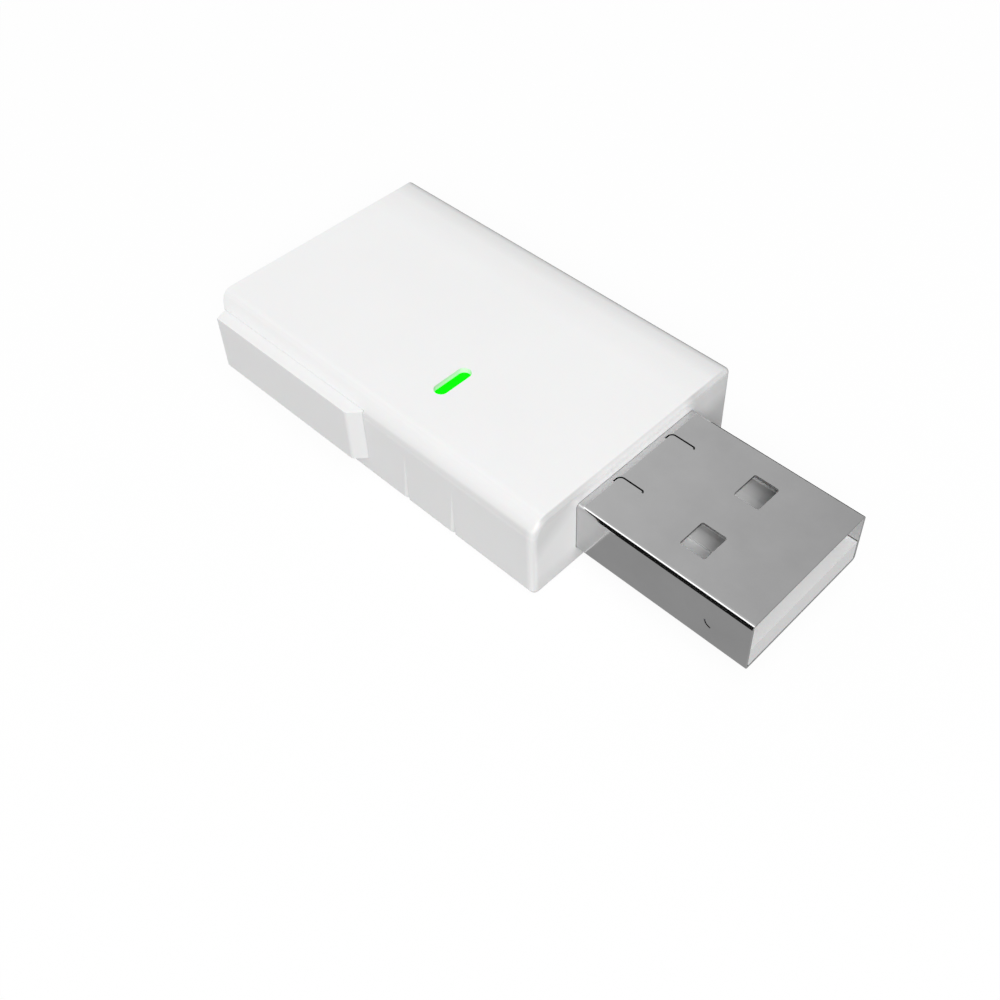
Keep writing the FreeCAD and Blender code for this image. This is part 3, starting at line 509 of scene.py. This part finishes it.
def paint_hidden_parts():
    """The board and what it carries."""
    paint(solder_mask(), ["circuit_board"])
    for make, table in ((moulded, MOULDED), (plated_sheet, PLATED)):
        for name, (base, low, high, nodes) in table.items():
            paint(make(name, base, low, high), nodes)


def camera():
    """The photograph's camera."""
    data = bpy.data.cameras.new("photo_camera")
    data.sensor_fit = "HORIZONTAL"
    data.sensor_width = SENSOR_WIDTH
    data.lens = FOCAL_PIXELS / IMAGE_SIZE * SENSOR_WIDTH
    data.shift_x = 0.5 - PRINCIPAL_POINT[0] / IMAGE_SIZE
    data.shift_y = PRINCIPAL_POINT[1] / IMAGE_SIZE - 0.5
    data.clip_start = MM
    data.clip_end = CAMERA_REACH
    item = bpy.data.objects.new("photo_camera", data)
    item.location = CAMERA_PLACE
    item.rotation_euler = (CAMERA_TILT, 0, CAMERA_TURN)
    bpy.context.scene.collection.objects.link(item)
    bpy.context.scene.camera = item


def seen_directly(tree):
    """A value of 1 where a ray comes from the camera, a mirror or clear glass."""
    path = tree.nodes.new("ShaderNodeLightPath")
    total = path.outputs["Is Camera Ray"]
    for name in ("Is Glossy Ray", "Is Transmission Ray"):
        both = tree.nodes.new("ShaderNodeMath")
        both.operation = "MAXIMUM"
        tree.links.new(total, both.inputs[0])
        tree.links.new(path.outputs[name], both.inputs[1])
        total = both.outputs[0]
    return total


def world():
    """An even sky: white where it is seen, and at its own level where it lights."""
    sky = bpy.data.worlds.new("studio")
    sky.use_nodes = True
    tree = sky.node_tree
    background = tree.nodes["Background"]
    background.inputs["Color"].default_value = (*grey(1.0), 1)
    strength = tree.nodes.new("ShaderNodeMapRange")
    strength.inputs["To Min"].default_value = SKY_LEVEL
    strength.inputs["To Max"].default_value = 1.0
    tree.links.new(seen_directly(tree), strength.inputs["Value"])
    tree.links.new(strength.outputs["Result"], background.inputs["Strength"])
    bpy.context.scene.world = sky


def bare_material(name):
    """A new material with no surface yet."""
    material = bpy.data.materials.new(name)
    material.use_nodes = True
    material.node_tree.nodes.remove(material.node_tree.nodes["Principled BSDF"])
    return material


def stage_face(name, corners, material):
    """A flat face of the stage."""
    mesh = bpy.data.meshes.new(name)
    mesh.from_pydata(corners, [], [(0, 1, 2, 3)])
    item = bpy.data.objects.new(name, mesh)
    bpy.context.scene.collection.objects.link(item)
    mesh.materials.append(material)
    return item


def floor_white():
    """White to the eye with a share of the real shade, and darker to the light."""
    material = bare_material("floor_white")
    tree = material.node_tree
    lit = tree.nodes.new("ShaderNodeBsdfDiffuse")
    lit.inputs["Color"].default_value = (*grey(FLOOR_WHITE), 1)
    plain = tree.nodes.new("ShaderNodeEmission")
    eye = tree.nodes.new("ShaderNodeMixShader")
    eye.inputs["Fac"].default_value = FLOOR_SHADE
    tree.links.new(plain.outputs[0], eye.inputs[1])
    tree.links.new(lit.outputs[0], eye.inputs[2])
    dull = tree.nodes.new("ShaderNodeBsdfDiffuse")
    dull.inputs["Color"].default_value = (*grey(FLOOR_BOUNCE), 1)
    either = tree.nodes.new("ShaderNodeMixShader")
    tree.links.new(seen_directly(tree), either.inputs["Fac"])
    tree.links.new(dull.outputs[0], either.inputs[1])
    tree.links.new(eye.outputs[0], either.inputs[2])
    tree.links.new(either.outputs[0], tree.nodes["Material Output"].inputs["Surface"])
    return material


def floor():
    """A plain pale floor."""
    corners = [((u - 0.5) * FLOOR_SIZE, (v - 0.5) * FLOOR_SIZE, 0) for u, v in SQUARE]
    stage_face("floor", corners, floor_white())


def direction(azimuth, elevation):
    """A unit vector from an azimuth, counted from +X towards +Y, and an elevation."""
    turn, rise = math.radians(azimuth), math.radians(elevation)
    return Vector((math.cos(rise) * math.cos(turn), math.cos(rise) * math.sin(turn), math.sin(rise)))


def card_glow(name, start, end):
    """A glow that goes from start to end across a card."""
    material = bare_material(name)
    tree = material.node_tree
    where = tree.nodes.new("ShaderNodeUVMap")
    parts = tree.nodes.new("ShaderNodeSeparateXYZ")
    level = tree.nodes.new("ShaderNodeMapRange")
    glow = tree.nodes.new("ShaderNodeEmission")
    level.inputs["To Min"].default_value = start
    level.inputs["To Max"].default_value = end
    tree.links.new(where.outputs["UV"], parts.inputs[0])
    tree.links.new(parts.outputs["X"], level.inputs["Value"])
    tree.links.new(level.outputs["Result"], glow.inputs["Strength"])
    tree.links.new(glow.outputs[0], tree.nodes["Material Output"].inputs["Surface"])
    return material


def reflector(name, corners, start, end):
    """A card that only mirrors see: its glow goes from start to end between its two sides."""
    item = stage_face(name, corners, card_glow(name, start, end))
    levels = item.data.uv_layers.new(name="level")
    for corner, place in zip(levels.data, SQUARE):
        corner.uv = place
    item.visible_camera = False
    item.visible_diffuse = False
    item.visible_shadow = False
    item.visible_transmission = False


def facing_card(name, middle, azimuth, elevation, distance, width, height, start, end):
    """A reflector that faces the plug's middle, with its start on the right as seen from there."""
    out = direction(azimuth, elevation)
    right = Vector((0, 0, 1)).cross(out).normalized()
    up = out.cross(right)
    centre = middle + out * distance
    corners = [centre + right * width * (u - 0.5) + up * height * (v - 0.5) for u, v in SQUARE]
    reflector(name, corners, start, end)


def floor_card(name, outline, level):
    """A reflector that lies on the floor within four corners."""
    reflector(name, [(x, y, CARD_HEIGHT) for x, y in outline], level, level)


def cards():
    """The reflectors round the plug, in the air and on the floor."""
    (_, low_y, _), (tip, high_y, high_z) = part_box("usb_shell")
    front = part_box("upper_housing")[1][0]
    middle = Vector(((front + tip) / 2, 0, high_z))
    for name, values in CARDS.items():
        facing_card(name, middle, *values)
    left, right = low_y - NEAR_LEFT, high_y + NEAR_RIGHT
    far_left, far_right = left - FLOOR_REACH, right + FLOOR_REACH
    out, back = tip + NEAR_FRONT, front - FLOOR_REACH
    near_outline = [(front, left), (out, left), (out, right), (front, right)]
    left_outline = [(front, left), (back, far_left), (tip, far_left), (tip, left)]
    right_outline = [(front, right), (tip, right), (tip, far_right), (back, far_right)]
    floor_card("floor_card_near", near_outline, NEAR_LEVEL)
    floor_card("floor_card_left", left_outline, LEFT_LEVEL)
    floor_card("floor_card_right", right_outline, RIGHT_LEVEL)


def soft_box():
    """A square soft box that shines towards the object's middle."""
    data = bpy.data.lights.new("key", "AREA")
    data.shape = "SQUARE"
    data.size = KEY_SIZE
    data.energy = KEY_POWER
    item = bpy.data.objects.new("key", data)
    item.location = direction(KEY_AZIMUTH, KEY_ELEVATION) * KEY_DISTANCE
    item.rotation_euler = (-item.location).to_track_quat("-Z", "Y").to_euler()
    bpy.context.scene.collection.objects.link(item)


bpy.context.scene.view_settings.view_transform = "Standard"
paint_seen_parts()
paint_hidden_parts()
camera()
world()
floor()
soft_box()
cards()
